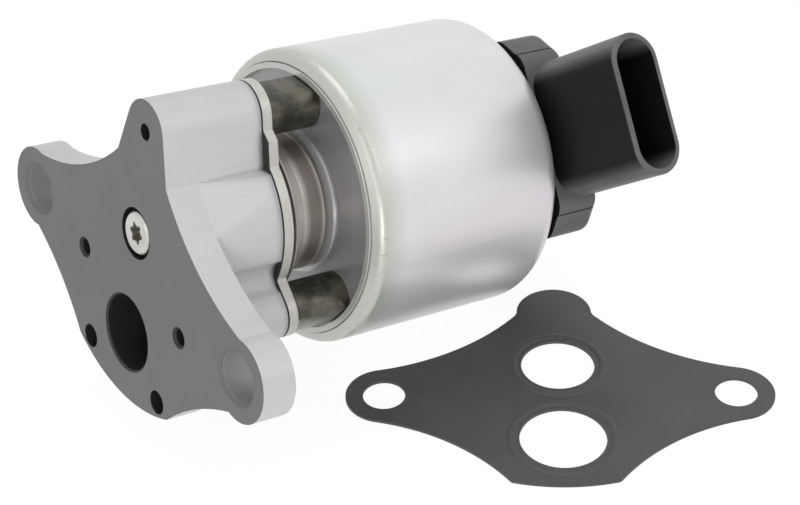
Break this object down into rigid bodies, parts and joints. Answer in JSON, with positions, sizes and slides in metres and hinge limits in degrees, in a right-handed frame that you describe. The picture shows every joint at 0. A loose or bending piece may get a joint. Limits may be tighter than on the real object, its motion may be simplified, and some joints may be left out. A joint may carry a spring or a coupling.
{
  "type": "egr valve",
  "caption": "Electric exhaust gas recirculation valve with slotted mounting flange, poppet, round solenoid can, plastic cap with oval socket, and a loose gasket beside it.",
  "frame": {"origin": "centre of the gas inlet, where the valve axis meets the mounting face", "axes": "+Y along the valve axis from the mounting face to the cap; +X across the two bolt ears; +Z towards the single screw lobe. The mounting face looks along -Y."},
  "size_m": [0.1221, 0.1118, 0.0802],
  "materials": {
    "cast_alloy": "satin as-cast, machined on the mounting face",
    "seat_steel": "turned",
    "pintle_steel": "turned",
    "bushing_bronze": "sintered",
    "gasket_sheet": "coated sheet",
    "plate_steel": "sheared edge",
    "shield_steel": "polished, heat tinted",
    "standoff_steel": "dark plated",
    "screw_steel": "plated",
    "front_steel": "polished",
    "can_steel": "satin plated",
    "pole_iron": "turned",
    "sleeve_steel": "drawn",
    "bobbin_plastic": "moulded",
    "winding_copper": "enamelled wire",
    "spring_steel": "wire",
    "seal_rubber": "matt",
    "cap_plastic": "moulded, fine grain",
    "terminal_tin": "tinned",
    "board": "laminate",
    "carrier_plastic": "moulded",
    "contact_alloy": "bright"
  },
  "bodies": {
    "valve": {"valve_body": "cast_alloy", "seat_ring": "seat_steel", "stem_bushing": "bushing_bronze", "body_gasket": "gasket_sheet", "mounting_plate": "plate_steel", "gas_shield": "shield_steel", "standoffs": "standoff_steel", "actuator_screws": "screw_steel", "front_plate": "front_steel", "solenoid_can": "can_steel", "lower_pole": "pole_iron", "guide_sleeve": "sleeve_steel", "bobbin": "bobbin_plastic", "coil_winding": "winding_copper", "upper_pole": "pole_iron", "return_spring": "spring_steel", "spring_retainer": "sleeve_steel", "cap_seal": "seal_rubber", "rear_cap": "cap_plastic", "sensor_cover": "cap_plastic", "connector_housing": "cap_plastic", "terminals": "terminal_tin", "resistive_board": "board", "sensor_spring": "spring_steel", "mounting_gasket": "gasket_sheet"},
    "pintle_group": {"pintle": "pintle_steel", "armature": "pole_iron", "stem_nut": "screw_steel"},
    "sensor_group": {"sensor_plunger": "carrier_plastic", "wiper": "contact_alloy"}
  },
  "joints": [
    {"name": "pintle_slide", "type": "slide", "parent": "valve", "child": "pintle_group", "axis": [0, 1, 0], "range_m": [0, 0.0045], "stiffness_N_per_m": 1500, "springref_m": -0.006, "deforming": ["return_spring"]},
    {"name": "sensor_slide", "type": "slide", "parent": "valve", "child": "sensor_group", "axis": [0, 1, 0], "range_m": [0, 0.0045], "stiffness_N_per_m": 100, "springref_m": -0.003, "deforming": ["sensor_spring"]}
  ],
  "couplings": [
    {"joint": "sensor_slide", "follows": "pintle_slide", "ratio": 1}
  ]
}
